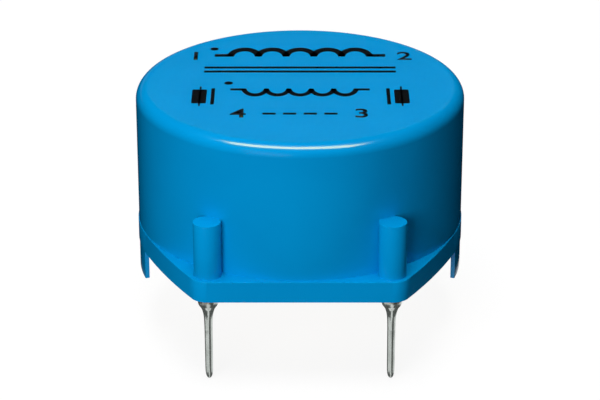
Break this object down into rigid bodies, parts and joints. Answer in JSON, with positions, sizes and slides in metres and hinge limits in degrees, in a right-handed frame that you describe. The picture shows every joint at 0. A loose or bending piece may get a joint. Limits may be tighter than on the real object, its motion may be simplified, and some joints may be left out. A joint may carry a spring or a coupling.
{
  "type": "toroidal inductor",
  "caption": "Potted toroidal inductor in a round blue moulded case, with two windings on a ring core and soldered leads for a circuit board.",
  "frame": {"origin": "centre of the lead pattern, on the plane of the feet, which is the board's surface", "axes": "+Z along the leads' axis up through the case, X along the short side of the lead pattern, front towards -Y"},
  "size_m": [0.023, 0.0236, 0.0177],
  "materials": {
    "case_plastic": "satin moulded plastic",
    "potting_resin": "cured casting resin",
    "core_ferrite": "coated ferrite",
    "separator_plastic": "moulded insulating plastic",
    "enamelled_copper": "enamelled copper wire",
    "tinned_wire": "tinned",
    "solder_tin": "bright solder"
  },
  "bodies": {
    "root": {"case": "case_plastic", "potting": "potting_resin", "ring_core": "core_ferrite", "separator": "separator_plastic", "winding_left": "enamelled_copper", "winding_right": "enamelled_copper", "lead_front_left": "tinned_wire", "lead_front_right": "tinned_wire", "lead_rear_left": "tinned_wire", "lead_rear_right": "tinned_wire", "solder_front_left": "solder_tin", "solder_front_right": "solder_tin", "solder_rear_left": "solder_tin", "solder_rear_right": "solder_tin"}
  },
  "joints": []
}
